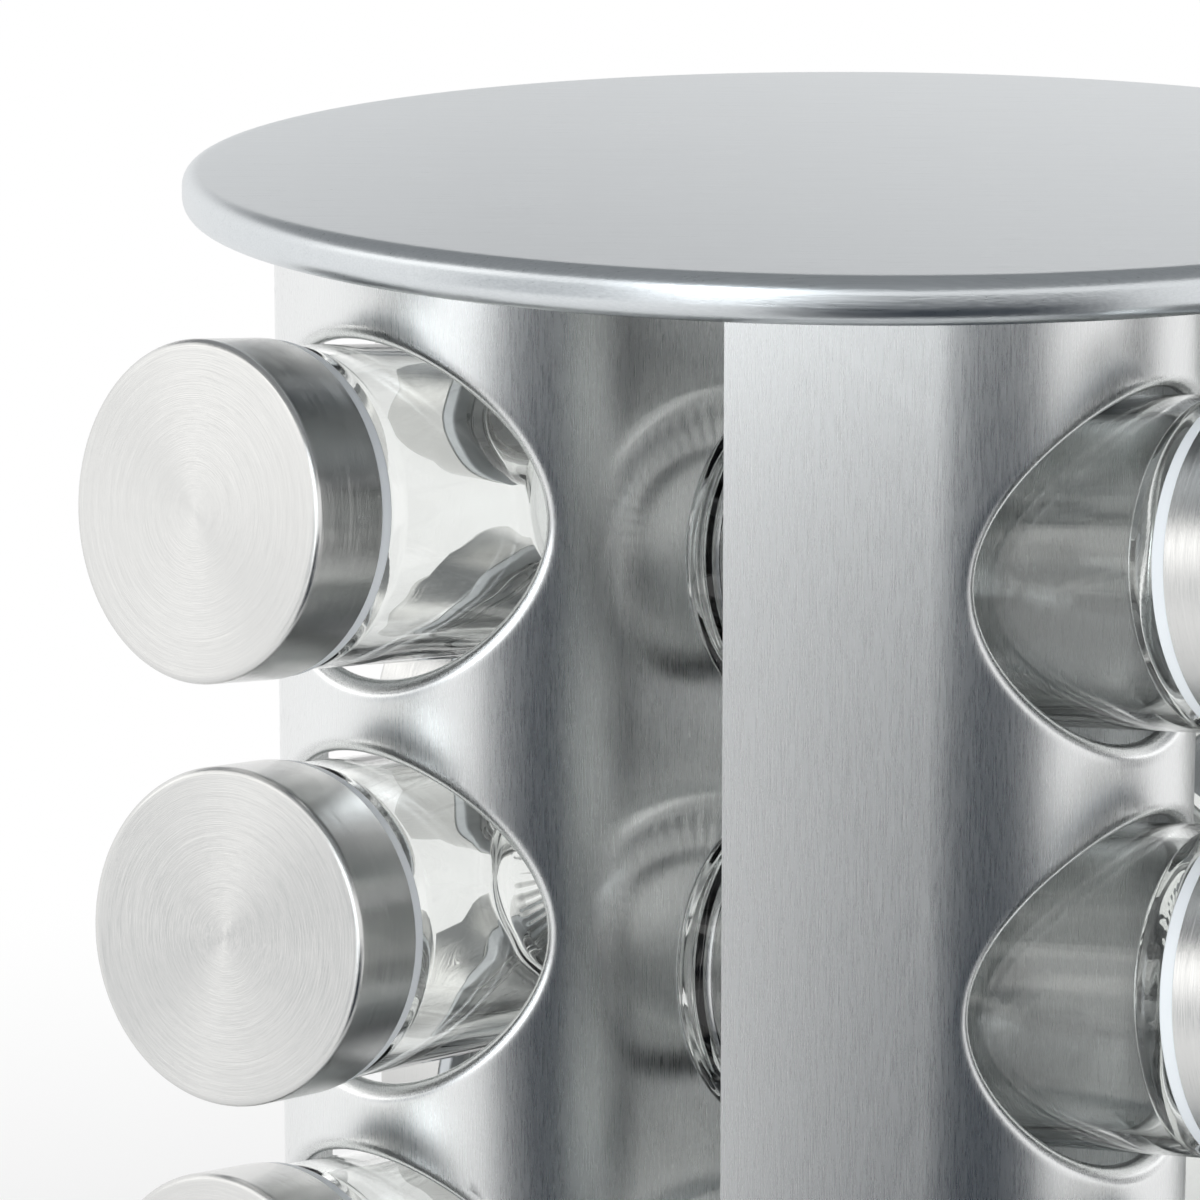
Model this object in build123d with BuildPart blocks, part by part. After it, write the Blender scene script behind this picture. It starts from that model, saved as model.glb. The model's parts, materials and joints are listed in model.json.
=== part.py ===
from build123d import *
import os
from math import cos, radians, sin, sqrt

os.makedirs("parts", exist_ok=True)

# Spice carousel, millimetres, +Z up, origin on the floor under the turning axis.
# Columns are numbered round the axis, rows from the top.

# Layout
column_count = 4
row_count = 3
row_pitch = 55.3
least_drop = 25.9  # top face of the carousel down to the centre of the first row of holes, at least
least_rise = 28.5  # base plate up to the centre of the last row of holes, at least
drop_share = 0.6  # part of the spare height that goes above the first row
overall_height = 210.0
floor_gap = 1.5  # foot above the floor

# Round plates
plate_radius = 91.8
plate_sheet = 1.2
rim_height = 6.2
rim_edge = 1.4  # outer radius of the bend from the plate to its rim
rim_curl = 2.2  # outer radius of the bend under the rim
rim_return = 5.0  # flat of the rim that runs back under the plate

# Bent panels, drawn with the nose towards +X
panel_sheet = 0.8
nose_radius = 31.2
nose_x = 37.7
nose_y = -31.2
strip_turn = 60.0  # bend from the nose to the free strip
wall_turn = 74.0  # bend from the nose to the wall that stops the next column's jars
strip_length = 25.8
flange_bend = 1.6
flange_width = 8.0
hole_radius = 22.6
hole_y = -31.4
hole_depth = 19.0
hole_lip = 2.0  # how far the edge of a hole turns in
hole_round = 1.2

# Jars
glass_radius = 21.0
glass_wall = 2.2
heel_radius = 3.5
base_thickness = 4.0
base_dish = 1.0
base_dish_radius = 12.0
shoulder_radius = 4.5
shoulder_height = 73.8  # top of the shoulder
neck_radius = 17.5
mouth_radius = 15.5
glass_height = 84.8
lip_round = 0.8
lug_rise = 0.9
lug_thickness = 1.8
lug_drop = 5.0  # mouth down to the top of the lugs
lug_count = 4
lug_span = 50.0

# How the jars lie: all tip up, and each row lies turned by its own slack in the holes
jar_tilt = 7.0
jar_turns = {1: (3.4, -3.6, 0.5), 2: (1.0, -3.0, 1.5)}  # degrees; opposite columns lie alike
jar_pivot_x = 61.5
jar_pivot_y = -32.0
jar_seat_gap = 0.35  # glass to the wall behind it

# Shaker inserts
sieve_flange = 17.2
sieve_thickness = 1.2
sieve_plug = 6.0
sieve_plug_wall = 1.0
sieve_plug_gap = 0.3  # plug to the mouth of the glass
sieve_hole_radius = 1.8
sieve_hole_circle = 9.0
sieve_hole_count = 8

# Caps
cap_radius = 22.0
cap_sheet = 0.5
cap_top = 0.6
cap_edge_round = 0.9
cap_lift = 1.3  # shoulder of the glass to the liner
liner_top = 1.9
liner_ring = 2.0  # part of the liner seen below the steel
liner_ring_radius = 21.8
liner_bore_gap = 0.4  # liner to the glass lugs
sieve_gap = 0.3  # liner to the shaker insert

# Ball race
ball_radius = 3.0
ball_count = 12
race_radius = 45.0
race_clearance = 0.08
race_half_width = 7.0
race_split = 0.8  # ball centre to the face of either track
track_depth = 3.0  # upper track below the base plate
cage_thickness = 1.0
cage_half_width = 5.0
cage_pocket_gap = 0.1

# Foot
foot_radius = 74.0
foot_skirt = 12.0
foot_deck_outer = 60.0
foot_deck_inner = 25.0
foot_wall = 3.8
foot_edge_height = 9.0
hub_radius = 22.0
hub_bottom = 8.5
hub_top = 11.5
pad_radius = 4.5
pad_height = 3.0
pad_count = 6

# Tie rod
rod_radius = 4.0
rod_bottom = 2.5
boss_radius = 9.0
boss_length = 14.0
rod_engagement = 10.0
rod_base_gap = 0.3
rod_foot_gap = 0.6
nut_flange_radius = 8.5
nut_flange = 1.0
nut_flats = 13.0
nut_height = 4.0
nut_foot_gap = 0.3

# Heights that follow
ball_height = 15.0
base_top = ball_height + race_split + track_depth + plate_sheet
spare_height = overall_height - base_top - (row_count - 1) * row_pitch - least_drop - least_rise
first_hole_drop = least_drop + drop_share * spare_height
panel_bottom = base_top
panel_top = overall_height - plate_sheet
lower_track = ball_height - race_split
upper_track = ball_height + race_split
core_half = nose_x * cos(radians(wall_turn)) + nose_y * sin(radians(wall_turn)) + nose_radius


def write(piece, name):
    """Label a finished piece and write it out."""
    piece.label = name
    export_step(piece, f"parts/{name}.step")


def plain_plate(top):
    """Round plate: a flat disc whose rim turns down, curls under and runs back flat."""
    edge_x, edge_z = plate_radius - rim_edge, top - rim_edge
    curl_x, curl_z = plate_radius - rim_curl, top - rim_height + rim_curl
    inner_x, bottom = plate_radius - plate_sheet, top - rim_height
    with BuildPart() as plate:
        with BuildSketch(Plane.XZ):
            with BuildLine():
                Line((0, top), (edge_x, top))
                CenterArc((edge_x, edge_z), rim_edge, 90, -90)
                Line((plate_radius, edge_z), (plate_radius, curl_z))
                CenterArc((curl_x, curl_z), rim_curl, 0, -90)
                Line((curl_x, bottom), (curl_x - rim_return, bottom))
                Line((curl_x - rim_return, bottom), (curl_x - rim_return, bottom + plate_sheet))
                Line((curl_x - rim_return, bottom + plate_sheet), (curl_x, bottom + plate_sheet))
                CenterArc((curl_x, curl_z), rim_curl - plate_sheet, -90, 90)
                Line((inner_x, curl_z), (inner_x, edge_z))
                CenterArc((edge_x, edge_z), rim_edge - plate_sheet, 0, 90)
                Line((edge_x, top - plate_sheet), (0, top - plate_sheet))
                Line((0, top - plate_sheet), (0, top))
            make_face()
        revolve(axis=Axis.Z)
    return plate.part


# Top plate with its threaded boss
with BuildPart() as top_plate:
    add(plain_plate(overall_height))
    with BuildSketch(Plane.XY.offset(panel_top)):
        Circle(boss_radius)
    extrude(amount=-boss_length)
    with BuildSketch(Plane.XY.offset(panel_top - boss_length)):
        Circle(rod_radius)
    extrude(amount=rod_engagement, mode=Mode.SUBTRACT)
write(top_plate.part, "top_plate")

# Base plate with the upper ball track under it
with BuildPart() as base_plate:
    add(plain_plate(base_top))
    with BuildSketch(Plane.XY.offset(upper_track)):
        Circle(race_radius + race_half_width)
        Circle(race_radius - race_half_width, mode=Mode.SUBTRACT)
    extrude(amount=base_top - plate_sheet - upper_track)
    with BuildSketch(Plane.XZ):
        with Locations((race_radius, ball_height)):
            Circle(ball_radius + race_clearance)
    revolve(axis=Axis.Z, mode=Mode.SUBTRACT)
    with BuildSketch(Plane.XY.offset(base_top)):
        Circle(rod_radius + rod_base_gap)
    extrude(amount=-plate_sheet, mode=Mode.SUBTRACT)
write(base_plate.part, "base_plate")

# Foot with the lower ball track
with BuildPart() as foot:
    with BuildSketch(Plane.XZ):
        with BuildLine():
            Polyline(
                (rod_radius + rod_foot_gap, hub_bottom),
                (rod_radius + rod_foot_gap, hub_top),
                (hub_radius, hub_top),
                (foot_deck_inner, lower_track),
                (foot_deck_outer, lower_track),
                (foot_radius, foot_edge_height),
                (foot_radius, floor_gap),
                (foot_radius - foot_skirt, floor_gap),
                (foot_radius - foot_skirt, foot_edge_height - foot_wall),
                (foot_deck_outer - foot_wall, lower_track - foot_wall),
                (foot_deck_inner + foot_wall, lower_track - foot_wall),
                (foot_deck_inner, hub_bottom),
                close=True,
            )
        make_face()
    revolve(axis=Axis.Z)
    with BuildSketch(Plane.XZ):
        with Locations((race_radius, ball_height)):
            Circle(ball_radius + race_clearance)
    revolve(axis=Axis.Z, mode=Mode.SUBTRACT)
    with BuildSketch(Plane.XY.offset(floor_gap)):
        with PolarLocations(foot_radius - foot_skirt / 2, pad_count):
            Circle(pad_radius)
    extrude(amount=pad_height - floor_gap, mode=Mode.SUBTRACT)
write(foot.part, "foot")

with BuildPart() as rubber_feet:
    with BuildSketch(Plane.XY):
        with PolarLocations(foot_radius - foot_skirt / 2, pad_count):
            Circle(pad_radius)
    extrude(amount=pad_height)
write(rubber_feet.part, "rubber_feet")

# Balls and the ring that spaces them
with BuildPart(Plane.XY.offset(ball_height)) as bearing_balls:
    with PolarLocations(race_radius, ball_count):
        Sphere(ball_radius)
write(bearing_balls.part, "bearing_balls")

with BuildPart() as ball_cage:
    with BuildSketch(Plane.XY.offset(ball_height - cage_thickness / 2)):
        Circle(race_radius + cage_half_width)
        Circle(race_radius - cage_half_width, mode=Mode.SUBTRACT)
        with PolarLocations(race_radius, ball_count):
            Circle(ball_radius + cage_pocket_gap, mode=Mode.SUBTRACT)
    extrude(amount=cage_thickness)
write(ball_cage.part, "ball_cage")

# Tie rod, with one flanged nut under the base plate and one under the foot's hub
with BuildPart() as tie_rod:
    with BuildSketch(Plane.XY.offset(rod_bottom)):
        Circle(rod_radius)
    extrude(amount=panel_top - boss_length + rod_engagement - rod_bottom)
write(tie_rod.part, "tie_rod")

with BuildPart() as rod_nuts:
    for nut_top in (base_top - plate_sheet, hub_bottom - nut_foot_gap):
        with BuildSketch(Plane.XY.offset(nut_top)):
            Circle(nut_flange_radius)
            Circle(rod_radius, mode=Mode.SUBTRACT)
        extrude(amount=-nut_flange)
        with BuildSketch(Plane.XY.offset(nut_top - nut_flange)):
            RegularPolygon(nut_flats / 2, 6, major_radius=False)
            Circle(rod_radius, mode=Mode.SUBTRACT)
        extrude(amount=-nut_height)
write(rod_nuts.part, "rod_nuts")

# Bends of one panel, from the edge of the free strip
hole_heights = [overall_height - first_hole_drop - row * row_pitch for row in range(row_count)]
strip_heading = 90 - strip_turn
nose_start_x = nose_x + nose_radius * cos(radians(strip_turn))
nose_start_y = nose_y - nose_radius * sin(radians(strip_turn))
strip_edge_x = nose_start_x - strip_length * cos(radians(strip_heading))
strip_edge_y = nose_start_y - strip_length * sin(radians(strip_heading))
wall_start = nose_x * sin(radians(wall_turn)) - nose_y * cos(radians(wall_turn))
wall_length = wall_start + core_half - panel_sheet - flange_bend

hole_planes = [
    Plane((nose_x + nose_radius, hole_y, height), x_dir=(0, 1, 0), z_dir=(1, 0, 0)) for height in hole_heights
]

# Solid of the space inside one bent panel, with the rounded edges of its holes
with BuildPart() as lobe_solid:
    with BuildSketch(Plane.XY.offset(panel_bottom)):
        with BuildLine():
            strip = Line((strip_edge_x, strip_edge_y), (nose_start_x, nose_start_y))
            nose = JernArc(strip @ 1, strip % 1, nose_radius, strip_turn + wall_turn)
            wall = PolarLine(nose @ 1, wall_length, direction=nose % 1)
            corner = JernArc(wall @ 1, wall % 1, flange_bend, 90)
            flange = PolarLine(corner @ 1, flange_width, direction=corner % 1)
            Line(flange @ 1, strip @ 0)
        make_face()
    extrude(amount=panel_top - panel_bottom)
    for hole_plane in hole_planes:
        with BuildSketch(hole_plane):
            Circle(hole_radius)
        extrude(amount=-hole_depth, mode=Mode.SUBTRACT)
    nose_face = lobe_solid.faces().filter_by(GeomType.CYLINDER).sort_by(SortBy.AREA)[-1]
    fillet(nose_face.inner_wires().edges(), hole_round)

# One bent panel: free strip, nose with turned-in holes, wall, and a flange on the back of the next wall
with BuildPart() as panel_blank:
    for hole_plane in hole_planes:
        with BuildSketch(hole_plane):
            Circle(hole_radius + panel_sheet)
        extrude(amount=-hole_depth)
    with BuildSketch(Plane.XY.offset(panel_bottom)):
        with Locations((nose_x, nose_y)):
            Circle(nose_radius)
            Circle(nose_radius - hole_lip, mode=Mode.SUBTRACT)
    extrude(amount=panel_top - panel_bottom, mode=Mode.INTERSECT)
    with BuildSketch(Plane.XY.offset(panel_bottom)):
        with BuildLine():
            add([strip, nose, wall, corner, flange])
            offset(amount=panel_sheet, side=Side.LEFT)
        make_face()
    extrude(amount=panel_top - panel_bottom)
    add(lobe_solid.part, mode=Mode.INTERSECT)

# One jar with its cap, standing on its base at the origin
glass_inner = glass_radius - glass_wall
with BuildPart() as jar_blank:
    with BuildSketch(Plane.XZ):
        with BuildLine():
            Line((0, base_dish), (base_dish_radius, base_dish))
            Line((base_dish_radius, base_dish), (base_dish_radius + base_dish, 0))
            Line((base_dish_radius + base_dish, 0), (glass_radius - heel_radius, 0))
            CenterArc((glass_radius - heel_radius, heel_radius), heel_radius, -90, 90)
            Line((glass_radius, heel_radius), (glass_radius, shoulder_height - shoulder_radius))
            CenterArc(
                (glass_radius - shoulder_radius, shoulder_height - shoulder_radius), shoulder_radius, 0, 90
            )
            Line((glass_radius - shoulder_radius, shoulder_height), (neck_radius, shoulder_height))
            Line((neck_radius, shoulder_height), (neck_radius, glass_height - lip_round))
            CenterArc((neck_radius - lip_round, glass_height - lip_round), lip_round, 0, 90)
            Line((neck_radius - lip_round, glass_height), (mouth_radius, glass_height))
            Line((mouth_radius, glass_height), (mouth_radius, shoulder_height - glass_wall))
            Line(
                (mouth_radius, shoulder_height - glass_wall),
                (glass_inner - shoulder_radius / 2, shoulder_height - glass_wall),
            )
            CenterArc(
                (glass_inner - shoulder_radius / 2, shoulder_height - glass_wall - shoulder_radius / 2),
                shoulder_radius / 2,
                90,
                -90,
            )
            Line(
                (glass_inner, shoulder_height - glass_wall - shoulder_radius / 2),
                (glass_inner, base_thickness + heel_radius),
            )
            CenterArc(
                (glass_inner - heel_radius, base_thickness + heel_radius), heel_radius, 0, -90
            )
            Line((glass_inner - heel_radius, base_thickness), (0, base_thickness))
            Line((0, base_thickness), (0, base_dish))
        make_face()
    revolve(axis=Axis.Z)
    with BuildSketch(Plane.XY.offset(glass_height - lug_drop)):
        with PolarLocations(0, lug_count):
            SlotArc(CenterArc((0, 0), neck_radius, 0, lug_span, mode=Mode.PRIVATE), 2 * lug_rise)
        Circle(neck_radius - lug_rise / 2, mode=Mode.SUBTRACT)
    extrude(amount=-lug_thickness)

sieve_top = glass_height + sieve_thickness
plug_radius = mouth_radius - sieve_plug_gap
with BuildPart() as sieve_blank:
    with BuildSketch(Plane.XZ):
        with BuildLine():
            Polyline(
                (0, glass_height),
                (plug_radius - sieve_plug_wall, glass_height),
                (plug_radius - sieve_plug_wall, glass_height - sieve_plug),
                (plug_radius, glass_height - sieve_plug),
                (plug_radius, glass_height),
                (sieve_flange, glass_height),
                (sieve_flange, sieve_top),
                (0, sieve_top),
                close=True,
            )
        make_face()
    revolve(axis=Axis.Z)
    with BuildSketch(Plane.XY.offset(sieve_top)):
        Circle(sieve_hole_radius)
        with PolarLocations(sieve_hole_circle, sieve_hole_count):
            Circle(sieve_hole_radius)
    extrude(amount=-sieve_thickness, mode=Mode.SUBTRACT)

liner_bottom = shoulder_height + cap_lift
shell_bottom = liner_bottom + liner_ring
shell_inner = cap_radius - cap_sheet
liner_bore = neck_radius + lug_rise + liner_bore_gap
liner_ceiling = sieve_top + sieve_gap
jar_length = liner_ceiling + liner_top + cap_top
with BuildPart() as liner_blank:
    with BuildSketch(Plane.XZ):
        with BuildLine():
            Polyline(
                (0, liner_ceiling),
                (liner_bore, liner_ceiling),
                (liner_bore, liner_bottom),
                (liner_ring_radius, liner_bottom),
                (liner_ring_radius, shell_bottom),
                (shell_inner, shell_bottom),
                (shell_inner, jar_length - cap_top),
                (0, jar_length - cap_top),
                close=True,
            )
        make_face()
    revolve(axis=Axis.Z)

with BuildPart() as shell_blank:
    with BuildSketch(Plane.XZ):
        with BuildLine():
            Polyline(
                (0, jar_length - cap_top),
                (shell_inner, jar_length - cap_top),
                (shell_inner, shell_bottom),
                (cap_radius, shell_bottom),
                (cap_radius, jar_length),
                (0, jar_length),
                close=True,
            )
        make_face()
    revolve(axis=Axis.Z)
    face_edge = shell_blank.faces().sort_by(Axis.Z)[-1].edges()
    fillet(face_edge, cap_edge_round)


def column_angle(column):
    """Turn from the drawn panel to a column: the first column faces -X, the next -Y."""
    return 180 + 360 / column_count * (column - 1)


def jar_seat(column, row):
    """Plane of a jar's base: the jar lies through its hole and stops just short of the wall behind it."""
    row_turns = jar_turns[2 - column % 2]
    turn = radians(row_turns[(row - 1) % len(row_turns)])
    tilt = radians(jar_tilt)
    along = Vector(cos(tilt) * cos(turn), -cos(tilt) * sin(turn), sin(tilt))
    across = Vector(sin(turn), cos(turn), 0)
    pivot = Vector(jar_pivot_x, jar_pivot_y, hole_heights[row - 1])
    wall_facing = Vector(sin(radians(wall_turn)), -cos(radians(wall_turn)), 0)
    slope = wall_facing.dot(along)
    heel_reach = (glass_radius - heel_radius) * sqrt(1 - slope**2) + heel_radius
    back = (wall_facing.dot(pivot) - heel_reach - core_half - jar_seat_gap) / slope + heel_radius
    base = pivot - along * back
    angle = column_angle(column)
    return Plane(
        base.rotate(Axis.Z, angle), x_dir=across.rotate(Axis.Z, angle), z_dir=along.rotate(Axis.Z, angle)
    )


def place(blank, seat, name):
    """Write a copy of a drawn piece, moved to its seat."""
    with BuildPart() as placed:
        with Locations(seat):
            add(blank)
    write(placed.part, name)


for column in range(1, column_count + 1):
    place(panel_blank.part, Plane.XY.rotated((0, 0, column_angle(column))), f"panel_{column}")
    for row in range(1, row_count + 1):
        seat = jar_seat(column, row)
        place(jar_blank.part, seat, f"glass_jar_{column}{row}")
        place(sieve_blank.part, seat, f"sieve_{column}{row}")
        place(liner_blank.part, seat, f"cap_liner_{column}{row}")
        place(shell_blank.part, seat, f"cap_shell_{column}{row}")
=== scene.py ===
import json
from math import asin, atan2, cos, pi, radians, sin, sqrt

import bmesh
import bpy
from mathutils import Matrix, Vector


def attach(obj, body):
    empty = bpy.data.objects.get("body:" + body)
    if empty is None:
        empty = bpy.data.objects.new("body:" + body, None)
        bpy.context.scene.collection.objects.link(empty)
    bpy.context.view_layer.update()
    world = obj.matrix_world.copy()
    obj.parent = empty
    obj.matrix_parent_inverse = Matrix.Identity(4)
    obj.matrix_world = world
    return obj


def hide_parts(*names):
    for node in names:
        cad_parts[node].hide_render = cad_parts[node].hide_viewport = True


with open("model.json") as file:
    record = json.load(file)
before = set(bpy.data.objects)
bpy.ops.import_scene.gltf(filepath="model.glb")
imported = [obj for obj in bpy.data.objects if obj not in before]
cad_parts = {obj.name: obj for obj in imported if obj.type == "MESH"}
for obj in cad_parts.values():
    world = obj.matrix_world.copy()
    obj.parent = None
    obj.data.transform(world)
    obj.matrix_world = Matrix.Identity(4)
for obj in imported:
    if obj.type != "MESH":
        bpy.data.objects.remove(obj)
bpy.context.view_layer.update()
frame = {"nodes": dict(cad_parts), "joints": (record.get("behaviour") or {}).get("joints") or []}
nodes = frame["nodes"]

# Sizes of the turned and bent pieces, in millimetres as in the part's source
MM = 0.001
COLUMN_COUNT, ROW_COUNT = 4, 3
TOP, BASE_TOP = 210.0, 20.0
PLATE_R, PLATE_SHEET = 91.8, 1.2
RIM, RIM_EDGE, RIM_CURL, RIM_RETURN, RIM_BREAK = 6.2, 2.2, 2.6, 5.0, 0.8
BOSS_R, BOSS_LENGTH, BOSS_BORE, ROD_R, ROD_GAP = 9.0, 14.0, 10.0, 4.0, 0.3
RACE_R, RACE_HALF, TRACK_UP, TRACK_LOW = 45.0, 7.0, 15.8, 14.2
BALL_Z, BALL_R, BALL_GAP, BALL_COUNT = 15.0, 3.0, 0.08, 12
SHEET = 0.8
NOSE_R, NOSE_X, NOSE_Y = 31.2, 37.7, -31.2
STRIP_TURN, WALL_TURN, STRIP_LENGTH = radians(60), radians(74), 25.8
FLANGE_BEND, FLANGE_WIDTH = 1.6, 8.0
HOLE_R, HOLE_Y, HOLE_LIP, HOLE_ROLL, HOLE_MARGIN = 22.6, -31.4, 2.5, 2.3, 0.5
FIRST_HOLE_DROP, ROW_PITCH = 40.9, 55.3
HOLE_HEIGHTS = [TOP - FIRST_HOLE_DROP - ROW_PITCH * row for row in range(ROW_COUNT)]
PANEL_LOW, PANEL_HIGH = BASE_TOP, TOP - PLATE_SHEET
GLASS_R, GLASS_WALL, SHOULDER, GLASS_TOP = 21.0, 2.2, 73.8, 84.75
NECK_R, MOUTH_R, MOUTH_GAP = 17.5, 15.5, 0.1
GLASS_BASE, BASE_ROUND, PUNT_R, PUNT_DEPTH, STAND_R = 4.0, 3.5, 12.0, 1.0, 13.2
OUTER_ROW, INNER_ROW, BASE_ROW, FACE_ROW = 8.0, 12.0, 6.0, 2.0
CAP_R, CAP_SHEET, CAP_SKIRT, CAP_FACE, CAP_EDGE = 22.0, 0.5, 11.7, 0.6, 1.3
JAR_LENGTH = 88.8
LINER_RING, LINER_RING_R, LINER_BORE, LINER_ROOF = 2.0, 21.8, 18.8, 86.3
FOOT_R, FOOT_SKIRT, FOOT_EDGE, FOOT_CLEAR, FOOT_GAP = 74.0, 12.0, 9.0, 1.5, 0.6
HUB_R, HUB_LOW, HUB_TOP = 22.0, 8.5, 11.5
TRACK_IN, TRACK_OUT = 25.0, 60.0
SKIRT_ROOF, HOLLOW_ROOF, HOLLOW_IN, HOLLOW_OUT = 5.2, 10.4, 28.8, 56.2
PAD_R, PAD_HEIGHT, PAD_EDGE, PAD_COUNT = 4.5, 3.0, 0.4, 6

# How finely the meshes are cut
TURN_STEPS, PLATE_STEPS, FOOT_STEPS, ROUND_STEPS = 128, 192, 160, 8
HOLE_STEPS, NOSE_CUTS, FLANGE_CUTS, LIP_STEPS = 120, 96, 8, 8

COLUMNS = range(1, COLUMN_COUNT + 1)
CELLS = [(column, row) for column in COLUMNS for row in range(1, ROW_COUNT + 1)]
PLATE_BRUSHING = radians(53.7)


# Shader maths
class Wire:
    """A shader socket. Arithmetic on it adds Math nodes, and node() adds any other node."""

    def __init__(self, tree, socket=None):
        self.tree, self.socket = tree, socket

    def node(self, kind, settings=None, sockets=None, out=0):
        made = self.tree.nodes.new(kind)
        for name, value in (settings or {}).items():
            setattr(made, name, value)
        for key, value in (sockets or {}).items():
            if isinstance(value, Wire):
                self.tree.links.new(value.socket, made.inputs[key])
            else:
                made.inputs[key].default_value = value
        return Wire(self.tree, made.outputs[out])

    def math(self, operation, *others):
        values = dict(enumerate((self, *others)))
        return self.node("ShaderNodeMath", {"operation": operation}, values)

    def swapped(self, operation, first):
        return self.node("ShaderNodeMath", {"operation": operation}, {0: first, 1: self})

    def __add__(self, other):
        return self.math("ADD", other)

    def __sub__(self, other):
        return self.math("SUBTRACT", other)

    def __rsub__(self, other):
        return self.swapped("SUBTRACT", other)

    def __mul__(self, other):
        return self.math("MULTIPLY", other)

    def __rtruediv__(self, other):
        return self.swapped("DIVIDE", other)

    __radd__, __rmul__ = __add__, __mul__

    def axes(self):
        split = self.node("ShaderNodeSeparateXYZ", {}, {0: self})
        return [Wire(self.tree, socket) for socket in split.socket.node.outputs]

    def joined(self, x, y, z):
        return self.node("ShaderNodeCombineXYZ", {}, {0: x, 1: y, 2: z})

    def noise(self, scale=1.0, detail=2.0, rough=0.5):
        """Noise of this vector, from 0 to 1."""
        sockets = {"Vector": self, "Scale": scale, "Detail": detail, "Roughness": rough}
        return self.node("ShaderNodeTexNoise", {}, sockets)

    def band(self, low, high):
        """This value from low to high, as 0 to 1 with soft ends."""
        sockets = {0: self, 1: low, 2: high, 3: 0.0, 4: 1.0}
        return self.node("ShaderNodeMapRange", {"interpolation_type": "SMOOTHSTEP"}, sockets)

    def between(self, dark, light):
        """Mix of two colours by this value."""
        sockets = {0: self, 6: (*dark, 1), 7: (*light, 1)}
        return self.node("ShaderNodeMix", {"data_type": "RGBA"}, sockets, 2)


def material(name, **constants):
    """A new material: its wire, and the shader with the constant values set."""
    made = bpy.data.materials.new(name)
    made.use_nodes = True
    shader = made.node_tree.nodes["Principled BSDF"]
    for key, value in constants.items():
        shader.inputs[key.replace("_", " ")].default_value = value
    return made, Wire(made.node_tree), shader


def feed(wire, shader, key):
    wire.tree.links.new(wire.socket, shader.inputs[key])


def bumped(start, shader, height, distance):
    sockets = {"Height": height, "Distance": distance, "Strength": 1.0}
    feed(start.node("ShaderNodeBump", {}, sockets), shader, "Normal")


def object_place(start):
    return start.node("ShaderNodeTexCoord", {}, {}, 3)


def drawn_place(start):
    """The place on a turned piece before it was laid in its seat."""
    return start.node("ShaderNodeAttribute", {"attribute_name": "drawn"}, {}, 1)


# Finishes: a number that multiplies a place is grains per metre, and a bump's depth is in metres
def panel_steel():
    made, start, shader = material("panel_steel", Metallic=1.0, Anisotropic=0.65)
    x, y, z = object_place(start).axes()
    fine = start.joined(x * 7000, y * 7000, z * 220).noise(1.0, 3.0, 0.6)
    broad = start.joined(x * 600, y * 600, z * 8).noise(1.0, 2.0)
    grain = fine * 0.9 + broad * 0.1
    colour = grain.band(0.3, 0.7).between((0.862, 0.872, 0.872), (0.91, 0.92, 0.92))
    feed(colour, shader, "Base Color")
    feed(grain * 0.16 + 0.2, shader, "Roughness")
    bumped(start, shader, fine + broad * 0.3, 0.000005)
    return made


def plate_steel():
    made, start, shader = material("plate_steel", Metallic=1.0)
    sockets = {"Vector": object_place(start), "Angle": PLATE_BRUSHING}
    across = start.node("ShaderNodeVectorRotate", {"rotation_type": "Z_AXIS"}, sockets)
    x, y, z = across.axes()
    fine = start.joined(x * 80, y * 4200, z * 4200).noise(1.0, 3.0, 0.6)
    broad = start.joined(x * 12, y * 600, z * 600).noise(1.0, 2.0)
    grain = fine * 0.8 + broad * 0.2
    colour = grain.band(0.3, 0.7).between((0.68, 0.71, 0.73), (0.76, 0.79, 0.81))
    feed(colour, shader, "Base Color")
    feed(grain * 0.16 + 0.22, shader, "Roughness")
    bumped(start, shader, fine + broad, 0.000015)
    return made


def cap_steel():
    made, start, shader = material("cap_steel", Metallic=1.0)
    x, y, z = drawn_place(start).axes()
    out = (x * x + y * y).math("SQRT")
    run = out - z
    around = 0.7 / out
    fine = start.joined(run * 12000, x * around, y * around).noise(1.0, 3.0, 0.6)
    broad = start.joined(run * 1200, x * around * 0.6, y * around * 0.6).noise(1.0, 2.0)
    grain = fine * 0.8 + broad * 0.2
    colour = grain.band(0.3, 0.7).between((0.71, 0.71, 0.7), (0.74, 0.74, 0.73))
    feed(colour, shader, "Base Color")
    feed(grain * 0.1 + 0.12, shader, "Roughness")
    bumped(start, shader, fine + broad * 0.15, 0.000028)
    return made


def jar_glass():
    made, start, shader = material("jar_glass", Roughness=0.0, IOR=1.5, Transmission_Weight=1.0)
    shader.inputs["Base Color"].default_value = (0.986, 0.995, 0.984, 1)
    x, y, z = drawn_place(start).axes()
    ripple = start.joined(x * 70, y * 70, z * 22).noise(1.0, 1.0)
    out = (x * x + y * y).math("SQRT")
    ridges = (y.math("ARCTAN2", x) * 64).math("SINE") * 0.5 + 0.5
    ring = out.band(0.0135, 0.0145) * (1 - out.band(0.0185, 0.0195))
    stand = ring * (1 - z.band(0.0003, 0.0015))
    bumped(start, shader, ripple + ridges * stand * 0.15, 0.00025)
    return made


def plain_plastic(name, dark, light, rough, grain_size, depth):
    """A moulded plastic; the grain's size and depth are in millimetres."""
    made, start, shader = material(name, Roughness=rough)
    place = object_place(start)
    cloud = place.noise(90.0, 2.0)
    feed(cloud.band(0.3, 0.7).between(dark, light), shader, "Base Color")
    bumped(start, shader, place.noise(1 / (grain_size * MM), 1.0), depth * MM)
    return made


def bright_steel(name, dark, light, rough):
    made, start, shader = material(name, Metallic=1.0)
    cloud = object_place(start).noise(400.0, 3.0)
    feed(cloud.band(0.3, 0.7).between(dark, light), shader, "Base Color")
    feed(cloud * 0.15 + rough, shader, "Roughness")
    return made


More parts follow.
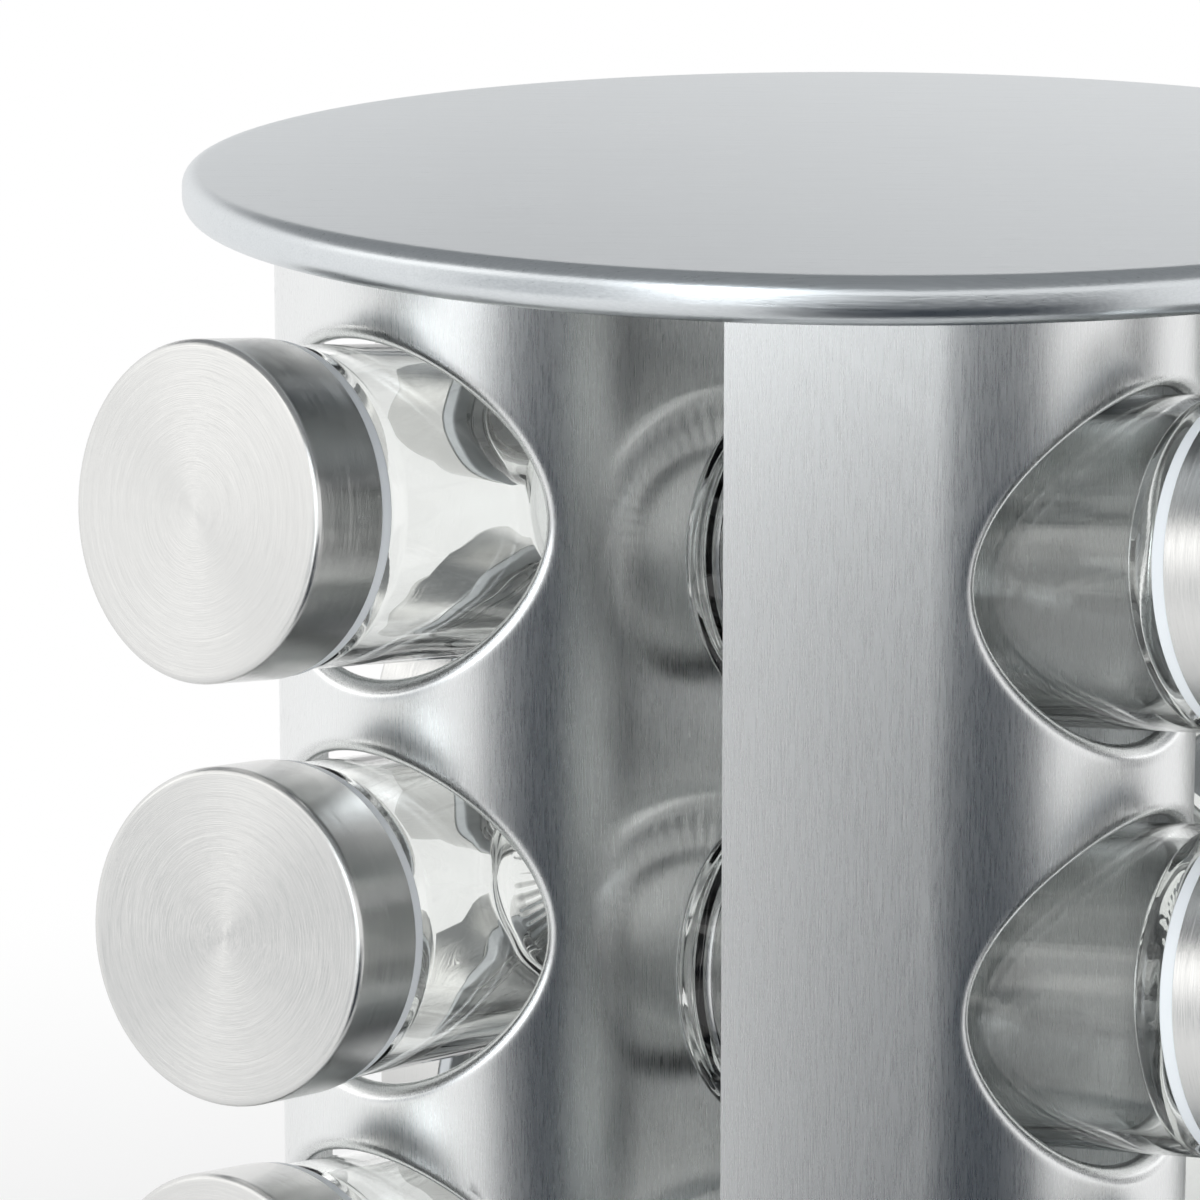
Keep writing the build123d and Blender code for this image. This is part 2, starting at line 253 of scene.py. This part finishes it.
plastics = {
    "liner_plastic": ((0.84, 0.88, 0.92), (0.88, 0.92, 0.95), 0.35, 0.5, 0.004),
    "sieve_plastic": ((0.76, 0.78, 0.8), (0.84, 0.85, 0.86), 0.4, 0.5, 0.004),
    "cage_plastic": ((0.62, 0.6, 0.54), (0.7, 0.68, 0.62), 0.45, 0.4, 0.006),
    "foot_plastic": ((0.018, 0.018, 0.02), (0.03, 0.03, 0.032), 0.5, 0.35, 0.03),
    "rubber": ((0.02, 0.02, 0.02), (0.035, 0.035, 0.035), 0.8, 0.3, 0.02),
}
finishes = {
    "panel_steel": panel_steel(),
    "plate_steel": plate_steel(),
    "cap_steel": cap_steel(),
    "jar_glass": jar_glass(),
    **{name: plain_plastic(name, *values) for name, values in plastics.items()},
    "rod_steel": bright_steel("rod_steel", (0.5, 0.5, 0.48), (0.62, 0.62, 0.6), 0.25),
    "ball_steel": bright_steel("ball_steel", (0.6, 0.6, 0.61), (0.68, 0.68, 0.69), 0.06),
}


# Making and placing meshes
def turned(corners, closed=False, steps=TURN_STEPS):
    """Turn an outline about Z.

    A corner is radius, height and how far its rounding reaches, in millimetres.
    """
    bm = bmesh.new()
    verts = [bm.verts.new((radius * MM, 0, height * MM)) for radius, height, _ in corners]
    for first, second in zip(verts, verts[1:] + verts[:1] if closed else verts[1:]):
        bm.edges.new((first, second))
    for vert, (_, _, rounding) in zip(verts, corners):
        if rounding:
            bmesh.ops.bevel(bm, geom=[vert], offset=rounding * MM, offset_type="OFFSET",
                            segments=ROUND_STEPS, profile=0.5, affect="VERTICES", material=-1)
    bmesh.ops.spin(bm, geom=bm.verts[:] + bm.edges[:], cent=(0, 0, 0), axis=(0, 0, 1),
                   dvec=(0, 0, 0), angle=2 * pi, steps=steps, use_merge=True, use_duplicate=False)
    bmesh.ops.remove_doubles(bm, verts=bm.verts[:], dist=1e-7)
    bmesh.ops.recalc_face_normals(bm, faces=bm.faces[:])
    return bm


def meshed(bm, name, sharp=35):
    """Finish a bmesh as mesh data with smooth faces and sharp corners."""
    data = bpy.data.meshes.new(name)
    bm.to_mesh(data)
    bm.free()
    data.polygons.foreach_set("use_smooth", [True] * len(data.polygons))
    data.set_sharp_from_angle(angle=radians(sharp))
    return data


def keep_drawn_place(data):
    """Store where each point is on the drawn piece, for patterns that follow it into its seat."""
    drawn = data.attributes.new("drawn", "FLOAT_VECTOR", "POINT")
    drawn.data.foreach_set("vector", [value for vert in data.vertices for value in vert.co])


def show(data, name, body, slot, *stands_for):
    piece = bpy.data.objects.new(name, data)
    bpy.context.scene.collection.objects.link(piece)
    piece.data.materials.clear()
    piece.data.materials.append(finishes[slot])
    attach(piece, body)
    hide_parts(*stands_for)


def seat(node, joint):
    """Matrix that lays a piece drawn on its base at the origin where a turned CAD node is."""
    along = Vector(next(j["axis"] for j in frame["joints"] if j["name"] == joint)).normalized()
    across = along.cross(Vector((0, 0, 1))).normalized()
    up = across.cross(along)
    verts = nodes[node].data.vertices
    reach = [[vert.co.dot(line) for vert in verts] for line in (across, up, along)]
    middle = [(min(values) + max(values)) / 2 for values in reach[:2]]
    base = across * middle[0] + up * middle[1] + along * min(reach[2])
    turn = Matrix((-across, up, along)).transposed()
    return Matrix.Translation(base) @ turn.to_4x4()


# Round plates with their rolled rims
def plate_corners(top, under):
    return_end = PLATE_R - RIM_CURL - RIM_RETURN
    return [
        (0, top, 0),
        (PLATE_R - RIM_EDGE - RIM_BREAK, top, 0),
        (PLATE_R, top, RIM_EDGE),
        (PLATE_R, top - RIM, RIM_CURL),
        (return_end, top - RIM, 0),
        (return_end, top - RIM + PLATE_SHEET, 0),
        (PLATE_R - PLATE_SHEET, top - RIM + PLATE_SHEET, RIM_CURL - PLATE_SHEET),
        (PLATE_R - PLATE_SHEET, top - PLATE_SHEET, RIM_EDGE - PLATE_SHEET),
        *under,
    ]


under_top = TOP - PLATE_SHEET
boss_end = under_top - BOSS_LENGTH
top_corners = plate_corners(TOP, [
    (BOSS_R, under_top, 0),
    (BOSS_R, boss_end, 0.5),
    (ROD_R, boss_end, 0),
    (ROD_R, boss_end + BOSS_BORE, 0),
    (0, boss_end + BOSS_BORE, 0),
])
top_plate = meshed(turned(top_corners, steps=PLATE_STEPS), "top_plate_steel")
show(top_plate, "top_plate_steel", "carousel", "plate_steel", "top_plate")


def groove_half(track):
    """Half the width of a ball groove where it meets its track."""
    return sqrt((BALL_R + BALL_GAP) ** 2 - (track - BALL_Z) ** 2)


# A groove's drawn corner from the balls' middle, and its rounding as a share of the groove's half
GROOVE_CORNER, GROOVE_ROUND = 2 * BALL_R - 0.4, 1.28
groove = groove_half(TRACK_UP)
under_base = BASE_TOP - PLATE_SHEET
base_corners = plate_corners(BASE_TOP, [
    (RACE_R + RACE_HALF, under_base, 0),
    (RACE_R + RACE_HALF, TRACK_UP, 0.4),
    (RACE_R + groove, TRACK_UP, 0),
    (RACE_R, BALL_Z + GROOVE_CORNER, groove * GROOVE_ROUND),
    (RACE_R - groove, TRACK_UP, 0),
    (RACE_R - RACE_HALF, TRACK_UP, 0.4),
    (RACE_R - RACE_HALF, under_base, 0),
    (ROD_R + ROD_GAP, under_base, 0),
    (ROD_R + ROD_GAP, BASE_TOP, 0),
])[1:]
base_plate = meshed(turned(base_corners, True, PLATE_STEPS), "base_plate_steel")
show(base_plate, "base_plate_steel", "carousel", "plate_steel", "base_plate")

# Bent panels, drawn with the nose towards +X
strip_end = STRIP_LENGTH
nose_end = strip_end + NOSE_R * (STRIP_TURN + WALL_TURN)
core = NOSE_X * cos(WALL_TURN) + NOSE_Y * sin(WALL_TURN) + NOSE_R
wall_length = NOSE_X * sin(WALL_TURN) - NOSE_Y * cos(WALL_TURN) + core - SHEET - FLANGE_BEND
wall_end = nose_end + wall_length
corner_end = wall_end + FLANGE_BEND * pi / 2
sheet_end = corner_end + FLANGE_WIDTH


def along_sheet(angle):
    """Length along the sheet to an angle on the nose."""
    return strip_end + NOSE_R * (angle + STRIP_TURN)


def bent(run):
    """Place across the panel at a length along its outer face, from the free edge of the strip."""
    def ahead(place, heading, length):
        return place[0] + cos(heading) * length, place[1] + sin(heading) * length

    def swung(place, heading, radius, turn):
        middle = place[0] - sin(heading) * radius, place[1] + cos(heading) * radius
        return middle[0] + sin(heading + turn) * radius, middle[1] - cos(heading + turn) * radius

    heading = pi / 2 - STRIP_TURN
    nose_start = NOSE_X + NOSE_R * cos(STRIP_TURN), NOSE_Y - NOSE_R * sin(STRIP_TURN)
    if run <= strip_end:
        return ahead(nose_start, heading, run - strip_end)
    if run <= nose_end:
        return swung(nose_start, heading, NOSE_R, (run - strip_end) / NOSE_R)
    wall_start = swung(nose_start, heading, NOSE_R, STRIP_TURN + WALL_TURN)
    heading += STRIP_TURN + WALL_TURN
    if run <= wall_end:
        return ahead(wall_start, heading, run - nose_end)
    corner_start = ahead(wall_start, heading, wall_end - nose_end)
    if run <= corner_end:
        return swung(corner_start, heading, FLANGE_BEND, (run - wall_end) / FLANGE_BEND)
    flange_start = swung(corner_start, heading, FLANGE_BEND, pi / 2)
    return ahead(flange_start, heading + pi / 2, run - corner_end)


def panel_mesh():
    """One panel: a flat sheet with holes is cut into upright strips, bent, and its hole edges rolled."""
    bm = bmesh.new()
    rim = HOLE_R + HOLE_ROLL + HOLE_MARGIN
    outline = ((0, PANEL_LOW), (sheet_end, PANEL_LOW), (sheet_end, PANEL_HIGH), (0, PANEL_HIGH))
    corners = [bm.verts.new((run, height, 0)) for run, height in outline]
    for first, second in zip(corners, corners[1:] + corners[:1]):
        bm.edges.new((first, second))
    for height in HOLE_HEIGHTS:
        circle = bmesh.ops.create_circle(bm, cap_ends=False, radius=rim, segments=HOLE_STEPS)
        for vert in circle["verts"]:
            y, z = vert.co.x, vert.co.y
            vert.co = along_sheet(asin((HOLE_Y + y - NOSE_Y) / NOSE_R)), height + z, 0
    bmesh.ops.triangle_fill(bm, use_beauty=False, use_dissolve=False, edges=bm.edges[:],
                            normal=(0, 0, 1))
    nose_run, corner_run = nose_end - strip_end, corner_end - wall_end
    cuts = [strip_end + nose_run * step / NOSE_CUTS for step in range(NOSE_CUTS + 1)]
    cuts += [wall_end + corner_run * step / FLANGE_CUTS for step in range(FLANGE_CUTS + 1)]
    for cut in cuts:
        bmesh.ops.bisect_plane(bm, geom=bm.verts[:] + bm.edges[:] + bm.faces[:], dist=1e-5,
                               plane_co=(cut, 0, 0), plane_no=(1, 0, 0))
    for vert in bm.verts:
        x, y = bent(vert.co.x)
        vert.co = x, y, vert.co.y
    bmesh.ops.dissolve_limit(bm, angle_limit=radians(0.2), verts=bm.verts[:], edges=bm.edges[:])
    edge_rings = []
    for height in HOLE_HEIGHTS:
        def near(vert):
            return abs(vert.co.z - height) < rim + 1 and vert.co.x > NOSE_X

        ring = [edge for edge in bm.edges if edge.is_boundary and all(map(near, edge.verts))]
        edge_rings.append((height, ring))
    for height, ring in edge_rings:
        steps = [(HOLE_R + HOLE_ROLL, 0.0)]
        for step in range(1, LIP_STEPS + 1):
            turn = pi / 2 * step / LIP_STEPS
            steps.append((HOLE_R + HOLE_ROLL * (1 - sin(turn)), HOLE_ROLL * (1 - cos(turn))))
        steps.append((HOLE_R, HOLE_LIP))
        for reach, depth in steps:
            grown = bmesh.ops.extrude_edge_only(bm, edges=ring)["geom"]
            ring = [item for item in grown if isinstance(item, bmesh.types.BMEdge)]
            for vert in {vert for edge in ring for vert in edge.verts}:
                angle = atan2(vert.co.z - height, vert.co.y - HOLE_Y)
                y, z = HOLE_Y + reach * cos(angle), height + reach * sin(angle)
                vert.co = NOSE_X + sqrt((NOSE_R - depth) ** 2 - (y - NOSE_Y) ** 2), y, z
    bmesh.ops.scale(bm, vec=(MM, MM, MM), verts=bm.verts[:])
    bmesh.ops.recalc_face_normals(bm, faces=bm.faces[:])
    nose = max(bm.faces, key=lambda face: face.calc_center_median().x)
    if nose.normal.x < 0:
        bmesh.ops.reverse_faces(bm, faces=bm.faces[:])
    bmesh.ops.solidify(bm, geom=bm.faces[:], thickness=SHEET * MM)
    return meshed(bm, "panel", 40)


panel = panel_mesh()
for column in COLUMNS:
    data = panel.copy()
    data.transform(Matrix.Rotation(radians(180 + 360 / COLUMN_COUNT * (column - 1)), 4, "Z"))
    show(data, f"bent_panel_{column}", "carousel", "panel_steel", f"panel_{column}")

# Jars and caps, drawn standing on their base at the origin
inner = GLASS_R - GLASS_WALL
mouth = MOUTH_R + MOUTH_GAP
glass = meshed(turned([
    (0, PUNT_DEPTH, 0),
    (PUNT_R, PUNT_DEPTH, 0.8),
    (STAND_R, 0, 0.6),
    (GLASS_R, 0, BASE_ROUND),
    (GLASS_R, OUTER_ROW, 0),
    (GLASS_R, SHOULDER - OUTER_ROW, 0),
    (GLASS_R, SHOULDER, 2.2),
    (NECK_R, SHOULDER, 0.5),
    (NECK_R, GLASS_TOP, 0.8),
    (mouth, GLASS_TOP, 0.6),
    (mouth, SHOULDER - GLASS_WALL, 1.2),
    (inner, SHOULDER - GLASS_WALL, 1.6),
    (inner, SHOULDER - INNER_ROW, 0),
    (inner, INNER_ROW, 0),
    (inner, GLASS_BASE, BASE_ROUND),
    (BASE_ROW, GLASS_BASE, 0),
    (0, GLASS_BASE, 0),
]), "glass", 50)
shell_low = JAR_LENGTH - CAP_SKIRT
shell_roof, shell_bore = JAR_LENGTH - CAP_FACE, CAP_R - CAP_SHEET
shell = meshed(turned([
    (0, shell_roof, 0),
    (shell_bore, shell_roof, 0),
    (shell_bore, shell_low, 0.1),
    (CAP_R, shell_low, 0.15),
    (CAP_R, JAR_LENGTH - CAP_EDGE, 0),
    (CAP_R, JAR_LENGTH, 0.9),
    (CAP_R - CAP_EDGE, JAR_LENGTH, 0),
    (FACE_ROW, JAR_LENGTH, 0),
    (0, JAR_LENGTH, 0),
]), "shell", 50)
liner_low = shell_low - LINER_RING
liner = meshed(turned([
    (0, LINER_ROOF, 0),
    (LINER_BORE, LINER_ROOF, 0.5),
    (LINER_BORE, liner_low, 0.3),
    (LINER_RING_R, liner_low, 0.4),
    (LINER_RING_R, shell_low, 0.15),
    (shell_bore, shell_low, 0),
    (shell_bore, shell_roof, 0),
    (0, shell_roof, 0),
]), "liner", 50)
for data in (glass, shell, liner):
    keep_drawn_place(data)


def lay(blank, matrix, *shown):
    """Show a copy of a drawn piece in its seat."""
    data = blank.copy()
    data.transform(matrix)
    show(data, *shown)


for column, row in CELLS:
    cell = f"{column}{row}"
    base = seat(f"glass_jar_{cell}", f"jar_{cell}_pull")
    lay(glass, base, f"jar_{cell}", f"jar_{cell}", "jar_glass", f"glass_jar_{cell}")
    lay(shell, base, f"cap_{cell}", f"cap_{cell}", "cap_steel", f"cap_shell_{cell}")
    lay(liner, base, f"inner_cap_{cell}", f"cap_{cell}", "liner_plastic", f"cap_liner_{cell}")

# Foot, pads and balls
low_groove = groove_half(TRACK_LOW)
foot = turned([
    (ROD_R + FOOT_GAP, HUB_LOW, 0.3),
    (ROD_R + FOOT_GAP, HUB_TOP, 0.3),
    (HUB_R, HUB_TOP, 0.5),
    (TRACK_IN, TRACK_LOW, 0.5),
    (RACE_R - low_groove, TRACK_LOW, 0),
    (RACE_R, BALL_Z - GROOVE_CORNER, low_groove * GROOVE_ROUND),
    (RACE_R + low_groove, TRACK_LOW, 0),
    (TRACK_OUT, TRACK_LOW, 1.5),
    (FOOT_R, FOOT_EDGE, 1.5),
    (FOOT_R, FOOT_CLEAR, 0.6),
    (FOOT_R - FOOT_SKIRT, FOOT_CLEAR, 0.6),
    (FOOT_R - FOOT_SKIRT, SKIRT_ROOF, 0.6),
    (HOLLOW_OUT, HOLLOW_ROOF, 0.6),
    (HOLLOW_IN, HOLLOW_ROOF, 0.6),
    (TRACK_IN, HUB_LOW, 0.6),
], True, FOOT_STEPS)
show(meshed(foot, "round_foot"), "round_foot", "stand", "foot_plastic", "foot")

pads = bmesh.new()
for step in range(PAD_COUNT):
    turn = Matrix.Rotation(2 * pi * step / PAD_COUNT, 4, "Z")
    place = turn @ Matrix.Translation(((FOOT_R - FOOT_SKIRT / 2) * MM, 0, PAD_HEIGHT / 2 * MM))
    made = bmesh.ops.create_cone(pads, cap_ends=True, segments=40, radius1=PAD_R * MM,
                                 radius2=PAD_R * MM, depth=PAD_HEIGHT * MM, matrix=place)["verts"]
    rims = {edge for vert in made for edge in vert.link_edges
            if abs(edge.verts[0].co.z - edge.verts[1].co.z) < 1e-6}
    bmesh.ops.bevel(pads, geom=list(rims), offset=PAD_EDGE * MM, offset_type="OFFSET", segments=3,
                    profile=0.5, affect="EDGES", material=-1)
show(meshed(pads, "floor_pads"), "floor_pads", "stand", "rubber", "rubber_feet")

balls = bmesh.new()
for step in range(BALL_COUNT):
    turn = Matrix.Rotation(2 * pi * step / BALL_COUNT, 4, "Z")
    place = turn @ Matrix.Translation((RACE_R * MM, 0, BALL_Z * MM))
    bmesh.ops.create_uvsphere(balls, u_segments=32, v_segments=16, radius=BALL_R * MM, matrix=place)
show(meshed(balls, "race_balls", 60), "race_balls", "ball_ring", "ball_steel", "bearing_balls")

# CAD nodes that stay as they are
kept = {"ball_cage": "cage_plastic", "tie_rod": "rod_steel", "rod_nuts": "rod_steel"}
kept.update({f"sieve_{column}{row}": "sieve_plastic" for column, row in CELLS})
for node, slot in kept.items():
    data = nodes[node].data
    data.materials.clear()
    data.materials.append(finishes[slot])

# Camera at the photograph's place
camera_data = bpy.data.cameras.new("photo_camera")
camera_data.lens, camera_data.sensor_width = 180.0, 36.0
camera_data.clip_start, camera_data.clip_end = 0.05, 50.0
camera = bpy.data.objects.new("photo_camera", camera_data)
bpy.context.scene.collection.objects.link(camera)
camera.location = (-0.6448, -0.4738, 0.3314)
look = Vector((0.75922, 0.61195, -0.22164))
camera.rotation_euler = look.to_track_quat("-Z", "Y").to_euler()
bpy.context.scene.camera = camera
FRONT = atan2(-look.y, -look.x)


# Floor, backdrop, lamps and cards
def spot(side, distance, height):
    """A place on the stage: degrees to the right of the camera, then metres from the axis and up."""
    angle = FRONT + radians(side)
    return Vector((cos(angle) * distance, sin(angle) * distance, height))


def plane(name, corners, look):
    """A flat piece of the stage."""
    bm = bmesh.new()
    bm.faces.new([bm.verts.new(corner) for corner in corners])
    data = bpy.data.meshes.new(name)
    bm.to_mesh(data)
    bm.free()
    data.materials.append(look)
    made = bpy.data.objects.new(name, data)
    bpy.context.scene.collection.objects.link(made)
    return made


CARD_LIFT = 0.002


def level(reach, height):
    """Corners of a level square about the axis."""
    return [(x * reach, y * reach, height) for x, y in ((-1, -1), (1, -1), (1, 1), (-1, 1))]


def upright(first, last, distance, low, high):
    """Corners of an upright card between two sides."""
    ends = (first, low), (last, low), (last, high), (first, high)
    return [spot(side, distance, height) for side, height in ends]


def flat(first, last, near, far):
    """Corners of a card on the floor between two sides."""
    ends = (first, near), (last, near), (last, far), (first, far)
    return [spot(side, distance, CARD_LIFT) for side, distance in ends]


def seen_directly(start):
    """1 for what the camera sees straight, in a mirror or through glass, and 0 for soft light."""
    rays = start.node("ShaderNodeLightPath").socket.node.outputs
    camera_ray, mirror_ray, glass_ray = [
        Wire(start.tree, rays[ray]) for ray in ("Is Camera Ray", "Is Glossy Ray", "Is Transmission Ray")]
    return camera_ray.math("MAXIMUM", mirror_ray).math("MAXIMUM", glass_ray)


def floor_look():
    made, start, shader = material("pale_floor", Roughness=0.9)
    shader.inputs["Base Color"].default_value = (0.86, 0.86, 0.86, 1)
    white = start.node("ShaderNodeEmission", {}, {"Color": (1, 1, 1, 1), "Strength": 1.0})
    lit = Wire(start.tree, shader.outputs[0])
    x, y, z = object_place(start).axes()
    away = (x * x + y * y).math("SQRT").band(0.1, 0.42)
    share = seen_directly(start) * (away * 0.65 + 0.35)
    mixed = start.node("ShaderNodeMixShader", {}, {0: share, 1: lit, 2: white})
    start.tree.links.new(mixed.socket, start.tree.nodes["Material Output"].inputs[0])
    return made


plane("floor", level(6, 0), floor_look())
world = bpy.data.worlds.new("studio")
bpy.context.scene.world = world
world.use_nodes = True
start = Wire(world.node_tree)
backdrop = world.node_tree.nodes["Background"]
backdrop.inputs["Color"].default_value = (1, 1, 1, 1)
feed(seen_directly(start) * 0.15 + 0.85, backdrop, "Strength")


def lamp(name, side, height, distance, width, tall, radiance, colour=(1, 1, 1)):
    """A soft lamp that is aimed at the middle of the object, with sizes in metres."""
    data = bpy.data.lights.new(name, "AREA")
    data.shape, data.size, data.size_y = "RECTANGLE", width, tall
    data.energy, data.color = radiance * pi * width * tall, colour
    made = bpy.data.objects.new(name, data)
    bpy.context.scene.collection.objects.link(made)
    made.location = spot(side, distance, height)
    aim = Vector((0, 0, 0.12)) - made.location
    made.rotation_euler = aim.to_track_quat("-Z", "Y").to_euler()


def grey_card(name, corners, grey):
    """A card that the steel and the glass mirror; no camera sees it and it throws no shadow."""
    look, start, shader = material(name)
    card = start.node("ShaderNodeEmission", {}, {"Color": (*grey, 1), "Strength": 1.0})
    start.tree.links.new(card.socket, start.tree.nodes["Material Output"].inputs[0])
    made = plane(name, corners, look)
    made.visible_camera = made.visible_shadow = made.visible_diffuse = False


lamp("left_soft", -80, 0.75, 1.3, 1.0, 1.1, 0.5, (1, 0.985, 0.95))
lamp("front_soft", -24, 0.38, 0.9, 0.3, 0.6, 2.3, (0.88, 0.955, 1))
lamp("right_soft", 95, 0.8, 1.4, 0.7, 0.9, 0.5)
dark, middle = (0.029, 0.037, 0.049), (0.42, 0.44, 0.46)
front_ends = (-17, 0.157), (36, 0.186), (38, 1.396), (-15.7, 1.143)
front_corners = [spot(side, distance, CARD_LIFT) for side, distance in front_ends]
grey_card("front_floor_card", front_corners, dark)
grey_card("front_card", upright(-7, 37, 0.8, 0.0, 0.14), dark)
grey_card("rim_floor_card", flat(-68, -40, 0.75, 1.05), middle)
grey_card("rim_card", upright(-68, -40, 1.05, 0.0, 0.16), middle)
grey_card("right_card", upright(74, 92, 0.6, 0.0, 0.3), (0.08, 0.085, 0.09))
grey_card("back_card", upright(148, 172, 0.5, 0.0, 0.19), (0.2, 0.21, 0.22))
grey_card("canopy", level(0.4, 0.38), (0.27, 0.28, 0.29))

bpy.context.scene.view_settings.view_transform = "Standard"
